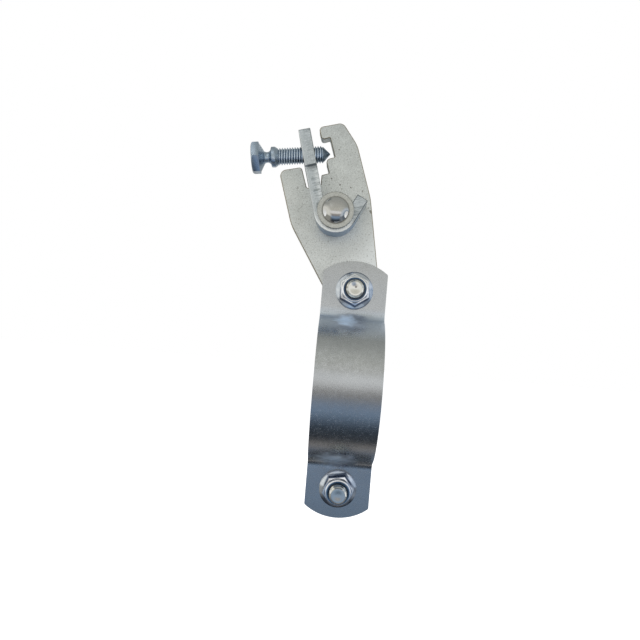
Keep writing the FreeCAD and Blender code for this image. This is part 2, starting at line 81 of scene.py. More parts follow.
# Threads of the three bolts. A turn is (place in pitches, height in thread depths) from crest to root.
THREAD_PITCH = 1.5 * MM
THREAD_DEPTH = 0.86 * MM
THREAD_TURN = ((0.0, 1.0), (0.12, 0.97), (0.38, 0.04), (0.5, 0.0))
THREAD_COLUMNS = 72
THREAD_OVERLAP = 0.2 * MM

# Set bolt. Its thread ends where the point starts, measured from the joint's place along the bolt.
SET_BOLT_RADIUS = 4.95 * MM
SET_POINT_LENGTH = 4.5 * MM
SET_POINT_FLAT = 0.3 * MM
SET_THREAD_LENGTH = 26.3 * MM
SET_THREAD_END = 8.3 * MM

# Clamp bolts. Their thread starts this far from the head's outer face. The cup in their end is rings
# of (depth, radius).
CLAMP_BOLT_RADIUS = 5.0 * MM
CLAMP_THREAD_START = 11.0 * MM
CLAMP_END_CHAMFER = 1.0 * MM
CLAMP_CUP = ((0.0, 2.9 * MM), (0.3 * MM, 1.74 * MM), (0.5 * MM, 0.0))

# Rounding of sharp edges
PLATE_EDGE = 0.5 * MM
BAND_EDGE = 0.3 * MM
ARM_EDGE = 0.4 * MM
HARDWARE_EDGE = 0.3 * MM
SMALL_EDGE = 0.15 * MM
SET_BOLT_EDGE = 0.22 * MM
SHARP_ANGLE = math.radians(16)
FLAT_ANGLE = math.radians(0.3)

# Clean-up of meshes: how near points are welded, cuts are taken as flat and a rim is found
WELD_REACH = 0.002 * MM
CUT_REACH = 0.001 * MM
RIM_REACH = 0.01 * MM

# What an imported mesh says about its own shading
IMPORTED_SHADING = ("custom_normal", "sharp_edge", "sharp_face")

# Camera: looks along +Y at the plane of the jaw plate
CAMERA_DISTANCE = 420.0 * MM
CAMERA_AIM = Vector((-10.25 * MM, 0.0, 25.2 * MM))
CAMERA_ROLL = math.radians(4.796)
CAMERA_CLIP = (0.01, 20.0)
SENSOR_WIDTH = 36.0
FOCAL_LENGTH = 40.01
PHOTO_SIZE = 640.0
AIM_PIXEL = (332.0, 345.0)

# What is left of a place when it is seen along Y
SEEN_ALONG_Y = (1.0, 0.0, 1.0)


def tone(red, green, blue):
    """A colour written as 0-255 screen values, as the linear colour a shader takes (sRGB curve)."""
    linear = []
    for value in (red, green, blue):
        share = value / 255.0
        linear.append(share / 12.92 if share <= 0.04045 else ((share + 0.055) / 1.055) ** 2.4)
    return (*linear, 1.0)


class Finish:
    """A procedural material built up from a few node calls.

    A value is a number or a socket. A mask is a value from 0, where a mark is absent, to 1."""

    def __init__(self, name):
        self.material = bpy.data.materials.new(name)
        self.material.use_nodes = True
        self.tree = self.material.node_tree
        self.bsdf = self.tree.nodes["Principled BSDF"]
        coordinates = self.add("ShaderNodeTexCoord")
        self.place = coordinates.outputs["Object"]
        self.facing = coordinates.outputs["Normal"]

    def add(self, kind, **settings):
        node = self.tree.nodes.new(kind)
        for key, value in settings.items():
            setattr(node, key, value)
        return node

    def feed(self, socket, value):
        if isinstance(value, bpy.types.NodeSocket):
            self.tree.links.new(value, socket)
        else:
            socket.default_value = value

    def math(self, operation, first, second=0.0):
        node = self.add("ShaderNodeMath", operation=operation)
        self.feed(node.inputs[0], first)
        self.feed(node.inputs[1], second)
        return node.outputs[0]

    def plus(self, first, second):
        return self.math("ADD", first, second)

    def less(self, first, second):
        return self.math("SUBTRACT", first, second)

    def times(self, first, *others):
        for other in others:
            first = self.math("MULTIPLY", first, other)
        return first

    def largest(self, first, *others):
        for other in others:
            first = self.math("MAXIMUM", first, other)
        return first

    def unsigned(self, value):
        return self.math("ABSOLUTE", value)

    def reach(self, first, second):
        """How far from the origin the point with these two coordinates is."""
        return self.math("SQRT", self.plus(self.times(first, first), self.times(second, second)))

    def vector(self, operation, first, second=None):
        """A step of vector arithmetic. A distance, a length or a dot product is a number."""
        node = self.add("ShaderNodeVectorMath", operation=operation)
        self.feed(node.inputs[0], first)
        if second is not None:
            self.feed(node.inputs[1], second)
        number = operation in ("DISTANCE", "LENGTH", "DOT_PRODUCT")
        return node.outputs["Value" if number else "Vector"]

    def axes(self, vector):
        """The three coordinates of a vector."""
        node = self.add("ShaderNodeSeparateXYZ")
        self.feed(node.inputs[0], vector)
        return node.outputs["X"], node.outputs["Y"], node.outputs["Z"]

    def turned(self, origin, angle=0.0, stretch=(1.0, 1.0, 1.0)):
        """Coordinates measured from origin in axes turned by angle about Y."""
        turn = self.add("ShaderNodeVectorRotate", rotation_type="Y_AXIS")
        self.feed(turn.inputs["Vector"], self.vector("SUBTRACT", self.place, origin))
        turn.inputs["Angle"].default_value = angle
        return self.vector("MULTIPLY", turn.outputs[0], stretch)

    def ramp(self, value, low, high, start, end, kind="LINEAR"):
        """start below low, end above high."""
        node = self.add("ShaderNodeMapRange", clamp=True, interpolation_type=kind)
        self.feed(node.inputs["Value"], value)
        node.inputs["From Min"].default_value = low
        node.inputs["From Max"].default_value = high
        node.inputs["To Min"].default_value = start
        node.inputs["To Max"].default_value = end
        return node.outputs["Result"]

    def rises(self, value, low, high, top=1.0):
        """0 below low, top above high."""
        return self.ramp(value, low, high, 0.0, top)

    def falls(self, value, low, high, top=1.0):
        """top below low, 0 above high."""
        return self.ramp(value, low, high, top, 0.0)

    def mix(self, factor, first, second):
        node = self.add("ShaderNodeMix", data_type="RGBA")
        self.feed(node.inputs["Factor"], factor)
        self.feed(node.inputs["A"], first)
        self.feed(node.inputs["B"], second)
        return node.outputs["Result"]

    def over(self, color, tint, where, share=1.0):
        """The colour with a tint laid over it where the mask shows, this share strong."""
        return self.mix(self.times(where, share), color, tint)

    def noise(self, size, detail=3.0, rough=0.55, vector=None, distortion=0.0):
        """Noise from 0 to 1 whose features are about size metres across."""
        node = self.add("ShaderNodeTexNoise")
        self.feed(node.inputs["Vector"], vector or self.place)
        node.inputs["Scale"].default_value = 1.0 / size
        node.inputs["Detail"].default_value = detail
        node.inputs["Roughness"].default_value = rough
        node.inputs["Distortion"].default_value = distortion
        return node.outputs["Fac"]

    def cells(self, size):
        """Distance to the nearest of scattered points about size metres apart."""
        node = self.add("ShaderNodeTexVoronoi")
        self.feed(node.inputs["Vector"], self.place)
        node.inputs["Scale"].default_value = 1.0 / size
        return node.outputs["Distance"]

    def specks(self, size, contrast=0.14):
        """Fine speckle from 0 to 1. A smaller contrast makes it harder."""
        return self.rises(self.noise(size, detail=2.0, rough=0.7), 0.5 - contrast, 0.5 + contrast)

    def mottled(self, dull, bright, speck, cloud, share, contrast=0.14):
        """A colour between dull and bright: fine specks, with this share, over wide clouds."""
        clouds = self.rises(self.noise(cloud, detail=3.0, rough=0.5), 0.3, 0.7)
        specks = self.times(self.specks(speck, contrast), share)
        return self.mix(self.plus(specks, self.times(clouds, 1.0 - share)), dull, bright)

    def dirt(self, size, low, high):
        """Scattered small spots, where fine noise passes low to high."""
        return self.rises(self.noise(size, detail=3.0, rough=0.7), low, high)

    def gloss(self, low, high, size=2.0 * MM, detail=4.0):
        """Roughness that wanders between low and high."""
        return self.ramp(self.noise(size, detail, rough=0.6), 0.3, 0.7, low, high)

    def bump(self, height, strength, depth, below=None):
        node = self.add("ShaderNodeBump")
        self.feed(node.inputs["Height"], height)
        node.inputs["Strength"].default_value = strength
        node.inputs["Distance"].default_value = depth
        if below is not None:
            self.feed(node.inputs["Normal"], below)
        return node.outputs["Normal"]

    def grain(self, strength, size=0.5 * MM):
        """The plating's fine grain, as a normal."""
        return self.bump(self.noise(size, detail=2.0, rough=0.65), strength, depth=0.04 * MM)

    def finish(self, color, roughness, normal=None, metallic=1.0):
        self.feed(self.bsdf.inputs["Base Color"], color)
        self.feed(self.bsdf.inputs["Roughness"], roughness)
        self.feed(self.bsdf.inputs["Metallic"], metallic)
        if normal is not None:
            self.feed(self.bsdf.inputs["Normal"], normal)
        return self.material


def spot(look, x, z, reach, soft):
    """1 within reach of the point (x, z) seen along Y, fading to 0 over soft."""
    away = look.vector("DISTANCE", look.vector("MULTIPLY", look.place, SEEN_ALONG_Y), (x, 0.0, z))
    return look.falls(away, reach, reach + soft)


def plated(name, bright, dull, rough, grain=0.25):
    """Zinc plating: a fine speckle over soft clouds, and a slightly uneven gloss."""
    look = Finish(name)
    color = look.mottled(dull, bright, speck=0.6 * MM, cloud=14.0 * MM, share=0.75)
    return look.finish(color, look.gloss(rough - 0.04, rough + 0.05), look.grain(grain))


# Jaw plate: tones, and the marks on its front face. Each spot is (x, z, reach).
PLATE_BRIGHT = tone(213, 217, 216)
PLATE_DULL = tone(172, 176, 175)
PLATE_PAINTED_LIGHT_TONE = tone(226, 231, 233)
PLATE_EDGE_BRIGHT = tone(158, 152, 136)
PLATE_EDGE_DULL = tone(132, 125, 110)
PIT_TONE = tone(96, 92, 82)
FRONT_ENDS = (-4.2 * MM, -4.0 * MM)
PLATE_SPOTS = (
    (-18.7 * MM, 122.1 * MM, 0.3 * MM),
    (-13.4 * MM, 118.9 * MM, 0.35 * MM),
    (-7.0 * MM, 117.8 * MM, 0.3 * MM),
    (0.0, 116.3 * MM, 0.3 * MM),
    (5.4 * MM, 105.0 * MM, 0.35 * MM),
    (6.1 * MM, 104.2 * MM, 0.5 * MM),
)
SPOT_SOFTNESS = 0.25 * MM
SCRATCH_START = (-37.2 * MM, 0.0, 101.2 * MM)
SCRATCH_ANGLE = math.radians(-40)
SCRATCH_SIDE = (0.08 * MM, 0.28 * MM)
SCRATCH_BEGINS = (0.0, 0.6 * MM)
SCRATCH_ENDS = (6.0 * MM, 6.6 * MM)

# Painted light: the plate is painted paler towards its foot, as x less the slope times z passes
# along a stretch
FOOT_SLOPE = 0.6
FOOT_STARTS = (-60.0 * MM, -40.0 * MM)


def jaw_pits(look, front):
    """Scattered pits, and the larger spots on the front face."""
    chosen = look.rises(look.noise(9.0 * MM, detail=1.0, rough=0.5), 0.5, 0.56)
    pits = look.times(look.falls(look.cells(4.5 * MM), 0.05, 0.13), chosen)
    for x, z, reach in PLATE_SPOTS:
        pits = look.largest(pits, look.times(spot(look, x, z, reach, SPOT_SOFTNESS), front))
    return pits


def jaw_scratch(look, front):
    """One straight scratch on the front face."""
    across, _, length = look.axes(look.turned(SCRATCH_START, SCRATCH_ANGLE))
    line = look.falls(look.unsigned(across), *SCRATCH_SIDE)
    line = look.times(line, look.rises(length, *SCRATCH_BEGINS), look.falls(length, *SCRATCH_ENDS))
    return look.times(line, front)


def jaw_finish():
    """Matte pale zinc: dark specks all over, some pits, and the marks that the photo shows."""
    look = Finish("plate_zinc")
    x, y, z = look.axes(look.place)
    front = look.falls(y, *FRONT_ENDS)
    color = look.mottled(
        PLATE_DULL, PLATE_BRIGHT, speck=0.55 * MM, cloud=11.0 * MM, share=0.7, contrast=0.16
    )
    foot = look.rises(look.less(x, look.times(z, FOOT_SLOPE)), *FOOT_STARTS)
    # Painted light: the foot of the plate is painted paler
    color = look.over(color, PLATE_PAINTED_LIGHT_TONE, foot, share=0.6)
    color = look.over(color, PIT_TONE, look.dirt(0.9 * MM, 0.57, 0.68), share=0.7)
    pits = jaw_pits(look, front)
    color = look.over(color, PIT_TONE, pits, share=0.8)
    scratch = jaw_scratch(look, front)
    color = look.over(color, PIT_TONE, scratch, share=0.35)
    dips = look.less(1.0, look.largest(pits, look.times(scratch, 0.5)))
    normal = look.bump(dips, strength=0.6, depth=0.12 * MM, below=look.grain(0.5))
    return look.finish(color, look.gloss(0.38, 0.46), normal)


# Swing arm: tones
ARM_BRIGHT = tone(196, 202, 206)
ARM_DULL = tone(166, 174, 179)
# Painted shade: the edges' tones are darker than the faces'
ARM_EDGE_SHADE_BRIGHT = tone(146, 150, 150)
ARM_EDGE_SHADE_DULL = tone(122, 127, 129)
TEAR_TONE = tone(112, 120, 123)
# The rim tone is the leg's pale strip, and the painted highlights on the curl's crescent and rim
RIM_TONE = tone(232, 236, 238)
# Painted shade: a dark line along the tail's edges
TAIL_PAINTED_SHADE_TONE = tone(84, 88, 90)
# Painted reflection: the blue of the surroundings below, on the curl's lower wall
CURL_WALL_REFLECTION_TONE = tone(116, 146, 178)

# Swing arm: stretches across the leg and up it, from the pivot, and in depth from the middle. The
# torn marks fill the face on the right of a wandering line, except for a crescent on the curl,
# which has a painted highlight instead.
ARM_FACE = 21.5 * MM
FACE_STARTS = (ARM_FACE - 1.2 * MM, ARM_FACE - 0.8 * MM)
LEG_TOP = 25.5 * MM
TEAR_LEFT = (-10.3 * MM, -9.5 * MM)
TEAR_WANDER = 4.0 * MM
TEAR_TOP = (LEG_TOP - 1.0 * MM, LEG_TOP + 1.0 * MM)
TEAR_SHARE = (0.58, 0.32)
STRIATION_TILT = math.radians(6)
STRIATION_SCALE = (0.12, 0.3, 1.0)
CRESCENT_TOP = (-4.0 * MM, 3.0 * MM)
CRESCENT_RIGHT = (6.0 * MM, 9.0 * MM)
STRIP_LEFT = (-8.4 * MM, -7.2 * MM)
STRIP_RIGHT = (-4.5 * MM, -4.0 * MM)
STRIP_TOP = (LEG_TOP - 1.0 * MM, LEG_TOP)
TAIL_LEFT = (3.0 * MM, 6.0 * MM)
CURL_RADIUS = 12.2 * MM
CURL_WALL_OUT = (CURL_RADIUS - 0.3 * MM, CURL_RADIUS - 0.1 * MM)
CURL_WALL_TOP = (-8.0 * MM, -2.0 * MM)
CURL_WALL_FRONT = (ARM_FACE - 0.7 * MM, ARM_FACE - 0.4 * MM)
DOWN_LEFT = (-0.6, -0.8)
CURL_RIM_BELOW = (4.0 * MM, 8.0 * MM)
LEG_RIM_LEFT = (-11.4 * MM, -10.6 * MM)


def torn_lines(look, across):
    """Marks torn across the bar, from a line that wanders down its face."""
    torn = look.turned(PIVOT, ARM_LEAN + STRIATION_TILT, STRIATION_SCALE)
    streaks = look.noise(1.0 * MM, detail=2.0, rough=0.6, vector=torn, distortion=0.2)
    wander = look.times(look.less(look.noise(TEAR_WANDER), 0.5), TEAR_WANDER)
    beyond = look.rises(look.plus(across, wander), *TEAR_LEFT)
    return look.times(look.rises(streaks, 0.44, 0.6), beyond)


def curl_wall_reflection(look, across, height, depth):
    """Where a blue reflection is painted: the lower part of the curl's outer wall, between the two
    faces.
    """
    outside = look.rises(look.reach(across, height), *CURL_WALL_OUT)
    return look.times(outside, look.falls(height, *CURL_WALL_TOP), look.falls(depth, *CURL_WALL_FRONT))


def curl_rim_highlight(look, across, height):
    """Painted highlight on the curl's edge where it looks down to the left, and on the leg's left edge.
    """
    below = look.plus(look.times(across, DOWN_LEFT[0]), look.times(height, DOWN_LEFT[1]))
    return look.largest(look.rises(below, *CURL_RIM_BELOW), look.falls(across, *LEG_RIM_LEFT, top=0.6))


def arm_finish(name, bright, dull, tear_bump, edge=False):
    """Zinc over a sheared face, torn across the bar, with a pale strip up the leg and a painted blue
    reflection on the curl's lower wall.

    The rounded edges are a darker copy of the finish, as painted shade, with a painted shade line
    at the tail and a painted highlight on the low rim as well."""
    look = Finish(name)
    across, _, height = look.axes(look.turned(PIVOT, ARM_LEAN))
    depth = look.unsigned(look.axes(look.place)[1])
    face = look.rises(depth, *FACE_STARTS)
    crescent = look.times(face, look.falls(height, *CRESCENT_TOP), look.falls(across, *CRESCENT_RIGHT))
    lines = look.times(torn_lines(look, across), look.less(face, crescent))
    color = look.mix(look.specks(0.55 * MM, contrast=0.16), dull, bright)
    strip = look.times(look.rises(across, *STRIP_LEFT), look.falls(across, *STRIP_RIGHT))
    color = look.over(color, RIM_TONE, look.times(strip, look.falls(height, *STRIP_TOP)), share=0.4)
    if edge:
        tail = look.times(look.rises(across, *TAIL_LEFT), face)
        # Painted shade: a dark line along the tail's edges
        color = look.over(color, TAIL_PAINTED_SHADE_TONE, tail, share=0.8)
    color = look.over(color, TEAR_TONE, lines, share=look.ramp(height, *TEAR_TOP, *TEAR_SHARE))
    # Painted highlight on the lower curl face below the washer
    color = look.over(color, RIM_TONE, crescent, share=0.7)
    wall = curl_wall_reflection(look, across, height, depth)
    # Painted reflection: the lower curl wall takes a blue tone
    color = look.over(color, CURL_WALL_REFLECTION_TONE, wall)
    if edge:
        # Painted highlight on the edges that look down to the left
        color = look.over(color, RIM_TONE, curl_rim_highlight(look, across, height))
    roughness = look.less(look.gloss(0.34, 0.44), look.times(wall, 0.08))
    normal = look.bump(lines, tear_bump, depth=0.1 * MM, below=look.grain(0.3))
    return look.finish(color, roughness, normal)


# Lock nuts: (node, degrees that its hexagon is turned, share of its painted shade wall and painted
# highlight strip)
NUTS = (("upper_lock_nut", -5.5, 0.0), ("lower_lock_nut", 21.0, 0.7))
NUT_FACE_TONES = (tone(214, 220, 228), tone(194, 202, 212))
# Painted highlight: the edges' tones are brighter than the faces'
NUT_EDGE_HIGHLIGHT_TONES = (tone(242, 244, 248), tone(226, 230, 236))
# Painted shade on the walls that face up or down
NUT_WALL_SHADE_TONE = tone(82, 95, 114)
# Painted shade in the corner under the walls
NUT_CORNER_SHADE_TONE = tone(52, 60, 74)
# Painted shade: the lines round the hexagon and the flange's edge
NUT_SHADE_LINE_TONE = tone(66, 80, 106)
# Painted highlight: the pale strip on the flange
NUT_HIGHLIGHT_STRIP_TONE = tone(244, 248, 252)
# Painted highlight on the hexagon's rim and the lip
NUT_HIGHLIGHT_TONE = tone(250, 252, 255)

# Lock nuts: stretches past the hexagon's flats, inward from the nut's axis to the bore, outward to
# the flange's edge, up from the axis and back from the lip, for the painted shade and highlights
NUT_HALF_FLATS = 8.0 * MM
SHADE_LINE_STARTS = (-0.25 * MM, -0.05 * MM)
SHADE_LINE_ENDS = (0.35 * MM, 0.9 * MM)
SHADE_LINE_INWARD = (0.0, 5.0 * MM)
SHADE_LINE_SHARE = (0.18, 0.9)
HIGHLIGHT_STRIP_PAST = (1.0 * MM, 1.4 * MM)
HIGHLIGHT_STRIP_INWARD = (7.0 * MM, 8.5 * MM)
SHADE_WALL_INWARD = (7.0 * MM, 7.6 * MM)
HIGHLIGHT_RIM_STARTS = (-1.0 * MM, -0.7 * MM)
HIGHLIGHT_RIM_ENDS = (-0.45 * MM, -0.2 * MM)
OUTLINE_STARTS = (-0.75 * MM, -0.35 * MM)
OUTLINE_UP = (3.0 * MM, 8.0 * MM)
OUTLINE_SHARE = (0.15, 0.75)
LIP_HIGHLIGHT_ENDS = (0.25 * MM, 0.6 * MM)
CORNER_REACH = 2.0 * MM
FLANGE_TILT = 0.6


def past_flats(look, own, turn):
    """How far outside the flats of the turned hexagon a place is."""
    across = []
    for step in range(3):
        angle = math.radians(60 * step + 30 + turn)
        direction = (math.sin(angle), 0.0, math.cos(angle))
        across.append(look.unsigned(look.vector("DOT_PRODUCT", own, direction)))
    return look.less(look.largest(*across), NUT_HALF_FLATS)


def nut_base(look, bright, dull):
    """Bright zinc, with painted shade on the walls that face up or down and in the corner under them."""
    facing_x, facing_y, _ = look.axes(look.facing)
    color = look.mix(look.rises(look.noise(3.0 * MM, detail=3.0, rough=0.6), 0.35, 0.65), dull, bright)
    wall = look.falls(look.unsigned(facing_y), 0.3, 0.5)
    up_or_down = look.falls(look.unsigned(facing_x), 0.45, 0.8)
    # Painted shade on the walls that face up or down
    color = look.over(color, NUT_WALL_SHADE_TONE, wall, share=up_or_down)
    corner = look.add("ShaderNodeAmbientOcclusion", samples=8, only_local=True)
    corner.inputs["Distance"].default_value = CORNER_REACH
    # Painted shade in the corner, from ambient occlusion
    return look.over(color, NUT_CORNER_SHADE_TONE, look.falls(corner.outputs["AO"], 0.5, 0.84), share=0.9)


def flattened_normal(look):
    """The surface's normal turned towards Y, as on a flange flatter than the solid's."""
    normal = look.add("ShaderNodeNewGeometry").outputs["Normal"]
    return look.vector("NORMALIZE", look.vector("MULTIPLY", normal, (FLANGE_TILT, 1.0, FLANGE_TILT)))


def nut_finish(node, name, tones, turn, shade_and_highlight_share, rough):
    """A cold-formed nut: painted shade lines round its hexagon and round the flange's edge, and painted
    highlights on the rims of hexagon and flange and on the lip.

    With a share, a painted shade wall and a painted highlight strip lie past the shade line on the
    side of the bore."""
    look = Finish(name)
    low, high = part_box(node)
    height = (low.z + high.z) / 2
    own = look.turned(Vector((0.0, 0.0, height)))
    up = look.axes(own)[2]
    inward = look.times(up, -math.copysign(1.0, height))
    past = past_flats(look, own, turn)
    color = nut_base(look, *tones)
    metallic = 1.0
    shade_line = look.times(look.falls(past, *SHADE_LINE_ENDS), look.ramp(inward, *SHADE_LINE_INWARD, *SHADE_LINE_SHARE))
    if shade_and_highlight_share:
        strip = look.times(look.rises(past, *HIGHLIGHT_STRIP_PAST, shade_and_highlight_share), look.rises(inward, *HIGHLIGHT_STRIP_INWARD))
        # Painted highlight: a pale strip on the flange
        color = look.over(color, NUT_HIGHLIGHT_STRIP_TONE, strip)
        metallic = look.less(1.0, strip)
        # Painted shade: a dark wall past the flats on the side of the bore
        wall = look.times(look.falls(past, *HIGHLIGHT_STRIP_PAST, shade_and_highlight_share), look.rises(inward, *SHADE_WALL_INWARD))
        shade_line = look.largest(shade_line, wall)
    # Painted shade line round the hexagon
    color = look.over(color, NUT_SHADE_LINE_TONE, look.times(shade_line, look.rises(past, *SHADE_LINE_STARTS)))
    rim = look.times(look.rises(past, *HIGHLIGHT_RIM_STARTS), look.falls(past, *HIGHLIGHT_RIM_ENDS))
    # Painted highlight on the hexagon's rim
    color = look.over(color, NUT_HIGHLIGHT_TONE, rim, share=0.7)
    flange = (high.x - low.x) / 2
    beyond = look.less(look.vector("LENGTH", look.vector("MULTIPLY", own, SEEN_ALONG_Y)), flange)
    share = look.ramp(look.unsigned(up), *OUTLINE_UP, *OUTLINE_SHARE)
    # Painted shade round the flange's edge
    color = look.over(color, NUT_SHADE_LINE_TONE, look.rises(beyond, *OUTLINE_STARTS), share)
    lip = look.falls(look.less(look.axes(look.place)[1], low.y), *LIP_HIGHLIGHT_ENDS)
    # Painted highlight on the lip
    color = look.over(color, NUT_HIGHLIGHT_TONE, lip, share=0.8)
    dents = look.noise(1.2 * MM, detail=2.0, rough=0.5)
    normal = look.bump(dents, strength=0.06, depth=0.06 * MM, below=flattened_normal(look))
    return look.finish(color, look.gloss(rough - 0.02, rough + 0.04), normal, metallic)


# Bolts: tones of (crest highlight, root shade, shank), and the painted reflections on an end as
# (x, z, size, tone, share)
CLAMP_BOLT_TONES = (tone(222, 223, 218), tone(146, 150, 148), tone(218, 219, 214))
SET_BOLT_TONES = (tone(210, 223, 237), tone(126, 146, 168), tone(172, 187, 202))
# Painted reflections in the upper bolt's end
UPPER_BOLT_REFLECTIONS = (
    (-1.0 * MM, 60.0 * MM, 0.8 * MM, tone(112, 132, 160), 0.7),
    (0.3 * MM, 58.4 * MM, 0.4 * MM, tone(96, 92, 92), 0.8),
)
CLAMP_CREST_START = 1.5 * MM
CLAMP_CREST_END = 16.0 * MM
CREST_FADE = 0.3 * MM
ROOT_SHADE_STRETCH = (-0.72 * MM, -0.12 * MM)


def thread_finish(look, place, outward, start, end, tones, rough, marks=()):
    """Zinc on a cut thread: crests with a painted highlight over roots with painted shade, from start to
    end.

    place is how far along the bolt a point is, and outward how far outside the thread's radius."""
    crest, root, shank = tones
    inside = look.rises(place, start, start + CREST_FADE)
    inside = look.times(inside, look.falls(place, end - CREST_FADE, end))
    # Painted highlight on the crests
    color = look.over(shank, crest, inside)
    # Painted shade in the thread's roots
    color = look.over(color, root, look.falls(outward, *ROOT_SHADE_STRETCH), share=inside)
    # Painted reflections on the bolt's end
    for x, z, size, mark, share in marks:
        tip = look.falls(place, start, start + CREST_FADE, share)
        color = look.over(color, mark, spot(look, x, z, size, size), share=tip)
    return look.finish(color, look.gloss(rough - 0.02, rough + 0.05, size=3.0 * MM, detail=3.0))


def clamp_bolt_finish(node, height):
    """A clamp bolt, which lies along Y. The painted highlight on its crests and shade in its roots start
    just behind its end.
    """
    look = Finish(node + "_zinc")
    side, place, up = look.axes(look.turned(Vector((0.0, 0.0, height))))
    outward = look.less(look.reach(side, up), CLAMP_BOLT_RADIUS)
    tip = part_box(node)[0].y
    marks = UPPER_BOLT_REFLECTIONS if height > 0 else ()
    start, end = tip + CLAMP_CREST_START, tip + CLAMP_CREST_END
    return thread_finish(look, place, outward, start, end, CLAMP_BOLT_TONES, rough=0.16, marks=marks)


def set_bolt_finish():
    """The set bolt, which lies along the screw's axis."""
    look = Finish("set_bolt_steel")
    place, side, up = look.axes(look.turned(SCREW_POINT, SCREW_LEAN))
    outward = look.less(look.reach(side, up), SET_BOLT_RADIUS)
    start = SET_THREAD_END - SET_THREAD_LENGTH
    return thread_finish(look, place, outward, start, SET_THREAD_END, SET_BOLT_TONES, rough=0.24)


# Washers, rivet and the nuts' nylon rings. The stretches go out from the rivet's head and from the
# bolts' axes.
WASHER_BRIGHT = tone(200, 202, 200)
WASHER_DULL = tone(182, 185, 184)
WASHER_SHADOW_TONE = tone(92, 90, 84)
WASHER_SHADOW_RING = (0.0, 0.9 * MM)
WASHER_EDGE_TONES = (tone(156, 157, 152), tone(136, 137, 132))
RIVET_TONES = (tone(206, 206, 204), tone(194, 194, 192))
NYLON_TONE = tone(8, 32, 52)
NYLON_HIGHLIGHT_TONE = tone(70, 116, 158)
NYLON_HIGHLIGHT_REACH = (5.8 * MM, 6.3 * MM)


def washer_finish():
    """Satin steel, with a painted shadow where the rivet's head sits on it."""
    look = Finish("washer_steel")
    across, _, up = look.axes(look.turned(PIVOT))
    low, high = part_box("pivot_rivet")
    head = (high.x - low.x) / 2
    ring = look.falls(look.less(look.reach(across, up), head), *WASHER_SHADOW_RING)
    color = look.mix(look.specks(0.6 * MM), WASHER_DULL, WASHER_BRIGHT)
    # Painted shadow round the rivet's head
    color = look.over(color, WASHER_SHADOW_TONE, ring, share=0.9)
    return look.finish(color, look.gloss(0.24, 0.32), look.grain(0.25))


def nylon_finish():
    """Dark blue nylon, with a painted highlight that makes it paler towards the ring's outer edge."""
    look = Finish("nylon")
    side, _, up = look.axes(look.place)
    reach = look.reach(look.less(look.unsigned(up), CLAMP_BOLT_AXIS_Z), side)
    # Painted highlight towards the ring's outer edge
    color = look.over(NYLON_TONE, NYLON_HIGHLIGHT_TONE, look.rises(reach, *NYLON_HIGHLIGHT_REACH), share=0.7)
    roughness = look.ramp(look.noise(1.0 * MM), 0.3, 0.7, 0.2, 0.32)
    normal = look.bump(look.noise(0.6 * MM), strength=0.1, depth=0.05 * MM)
    return look.finish(color, roughness, normal, metallic=0.0)


# Clamp band: tones
BAND_BRIGHT = tone(186, 190, 192)
BAND_DULL = tone(168, 172, 175)
BAND_EDGE_BRIGHT = tone(126, 126, 120)
BAND_EDGE_DULL = tone(102, 102, 96)
BAND_DOT_TONE = tone(110, 112, 112)
# Painted highlight on the folds
BAND_FOLD_HIGHLIGHT_TONE = tone(184, 208, 232)
BAND_SCRATCH_TONE = tone(226, 230, 232)

# Clamp band: heights from the bore's centre, where the folds and the worn steel start and end, and
# the painted highlight patch in the middle of each fold, as (value at the lower fold, value at the
# upper). It fades over a stretch counted in its own half widths.
LOWER_TO_UPPER = (-1.0 * MM, 1.0 * MM)
FOLD_STARTS = (29.0 * MM, 37.0 * MM)
FOLD_ENDS = (42.0 * MM, 48.0 * MM)
WORN_STARTS = (-34.0 * MM, -28.0 * MM)
WORN_ENDS = (-12.0 * MM, -8.0 * MM)
PATCH_X = -3.5 * MM
PATCH_HEIGHT = (40.0 * MM, 39.8 * MM)
PATCH_HALF_WIDTH = (16.0 * MM, 11.0 * MM)
PATCH_HALF_HEIGHT = (6.5 * MM, 5.2 * MM)
PATCH_UNEVENNESS = 1.1
PATCH_FADE = (0.0, 1.2)
PATCH_SHARE = (0.75, 0.95)
BESIDE_SHARE = (0.12, 0.35)
HIGHLIGHT_MATTE_SHARE = (0.5, 0.8)

# Scratches low on the band: (size, origin, lean, scale along them, noise they start at). The smaller
# the scale, the longer they are.
BAND_SCRATCHES = (
    (0.35 * MM, (0.0, 0.0, 0.0), math.radians(38), 0.06, 0.66),
    (0.4 * MM, (9.0, 0.0, 0.0), math.radians(-52), 0.05, 0.67),
)
SCRATCH_SHARPNESS = 0.04


def painted_fold_highlight(look, by_fold, x, height):
    """Where a highlight is painted on the folds: an uneven patch in the middle, and less beside it."""
    wide = look.math("DIVIDE", look.less(x, PATCH_X), by_fold(PATCH_HALF_WIDTH))
    tall = look.math("DIVIDE", look.less(height, by_fold(PATCH_HEIGHT)), by_fold(PATCH_HALF_HEIGHT))
    uneven = look.times(look.less(look.noise(5.0 * MM, detail=3.0, rough=0.6), 0.5), PATCH_UNEVENNESS)
    out = look.plus(look.reach(wide, tall), uneven)
    patch = look.times(look.ramp(out, *PATCH_FADE, 1.0, 0.0, "SMOOTHSTEP"), by_fold(PATCH_SHARE))
    fold = look.times(look.rises(height, *FOLD_STARTS), look.falls(height, *FOLD_ENDS))
    return look.largest(patch, look.times(fold, by_fold(BESIDE_SHARE)))


def band_scratches(look, level):
    """Fine scratches in two directions, on the worn stretch below the middle."""
    worn = look.times(look.rises(level, *WORN_STARTS), look.falls(level, *WORN_ENDS))
    sets = []
    for size, origin, lean, scale, start in BAND_SCRATCHES:
        drawn_out = look.turned(origin, lean, (1.0, 1.0, scale))
        streaks = look.noise(size, detail=1.0, rough=0.5, vector=drawn_out)
        sets.append(look.rises(streaks, start, start + SCRATCH_SHARPNESS))
    return look.times(look.largest(*sets), worn)


